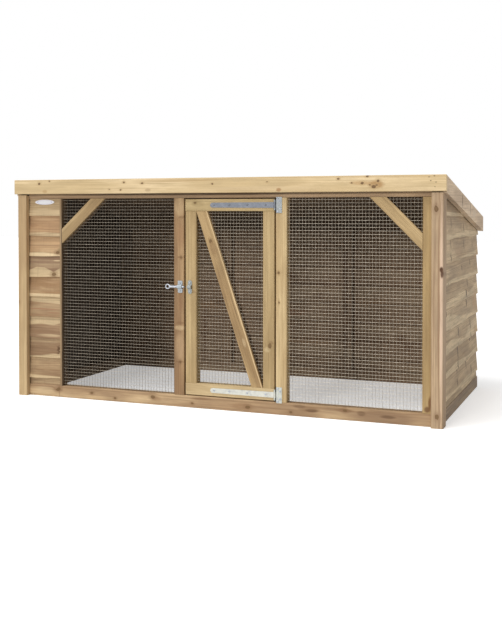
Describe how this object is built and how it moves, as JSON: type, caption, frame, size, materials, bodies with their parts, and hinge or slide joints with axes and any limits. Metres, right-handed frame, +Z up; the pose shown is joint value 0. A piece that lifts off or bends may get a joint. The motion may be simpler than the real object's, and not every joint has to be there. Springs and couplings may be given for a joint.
{
  "type": "outdoor rabbit run",
  "caption": "Free-standing timber rabbit run: sloping felted roof, lap-boarded sides and back, wire-mesh front bays and a braced mesh door on tee hinges with a sliding bolt.",
  "frame": {"origin": "on the ground under the middle of the roof's outline", "axes": "+Z up; +X to the right along the front as seen by someone facing it; +Y from the front to the back"},
  "size_m": [1.82, 0.906, 0.9097],
  "materials": {
    "planed_timber": "planed pale yellow softwood",
    "roof_timber": "planed cream softwood, eased edges",
    "door_timber": "planed yellow-green softwood",
    "lap_timber": "rough sawn, wavy sapwood edge",
    "side_timber": "rough sawn grey-brown lap board",
    "inside_timber": "rough sawn inner framing",
    "deck_timber": "sawn roof boarding",
    "felt": "grey-green mineral roofing felt",
    "zinc_plate": "bright zinc plated sheet",
    "galvanised_wire": "galvanised weld mesh"
  },
  "bodies": {
    "run": {"front_post_left": "planed_timber", "front_post_right": "planed_timber", "front_bottom_rail": "planed_timber", "front_top_rail": "planed_timber", "shelter_stud": "planed_timber", "latch_post": "planed_timber", "hinge_post": "planed_timber", "end_stile": "planed_timber", "corner_brace_left": "planed_timber", "corner_brace_right": "planed_timber", "front_fascia": "roof_timber", "barge_board_left": "roof_timber", "barge_board_right": "roof_timber", "shelter_board_0": "lap_timber", "shelter_board_1": "lap_timber", "shelter_board_2": "lap_timber", "shelter_board_3": "lap_timber", "shelter_board_4": "lap_timber", "shelter_board_5": "lap_timber", "shelter_board_6": "lap_timber", "shelter_board_7": "lap_timber", "shelter_board_8": "lap_timber", "shelter_board_9": "lap_timber", "right_board_0": "side_timber", "right_board_1": "side_timber", "right_board_2": "side_timber", "right_board_3": "side_timber", "right_board_4": "side_timber", "right_board_5": "side_timber", "right_board_6": "side_timber", "right_board_7": "side_timber", "right_board_8": "side_timber", "right_board_9": "side_timber", "left_wall_boards": "side_timber", "left_bottom_rail": "side_timber", "right_bottom_rail": "side_timber", "back_post_left": "inside_timber", "back_post_right": "inside_timber", "back_wall": "inside_timber", "back_top_rail": "inside_timber", "corner_brace_left_backing": "inside_timber", "corner_brace_right_backing": "inside_timber", "roof_deck": "deck_timber", "roof_felt": "felt", "upper_hinge_plate": "zinc_plate", "lower_hinge_plate": "zinc_plate", "bolt_bracket": "zinc_plate", "wire_panel_left": "galvanised_wire", "wire_panel_right": "galvanised_wire"},
    "door": {"door_top_rail": "door_timber", "door_bottom_rail": "door_timber", "door_latch_stile": "door_timber", "door_hinge_stile": "door_timber", "door_brace": "door_timber", "door_brace_backing": "inside_timber", "door_wire_panel": "galvanised_wire", "upper_hinge_strap": "zinc_plate", "lower_hinge_strap": "zinc_plate", "bolt_keep": "zinc_plate"},
    "bolt": {"slide_bolt": "zinc_plate"}
  },
  "joints": [
    {"name": "door_hinge", "type": "hinge", "parent": "run", "child": "door", "pos_m": [0.254, -0.4315, 0.439], "axis": [0, 0, 1], "range_deg": [0, 180]},
    {"name": "bolt_slide", "type": "slide", "parent": "run", "child": "bolt", "axis": [1, 0, 0], "range_m": [0, 0.032]}
  ]
}
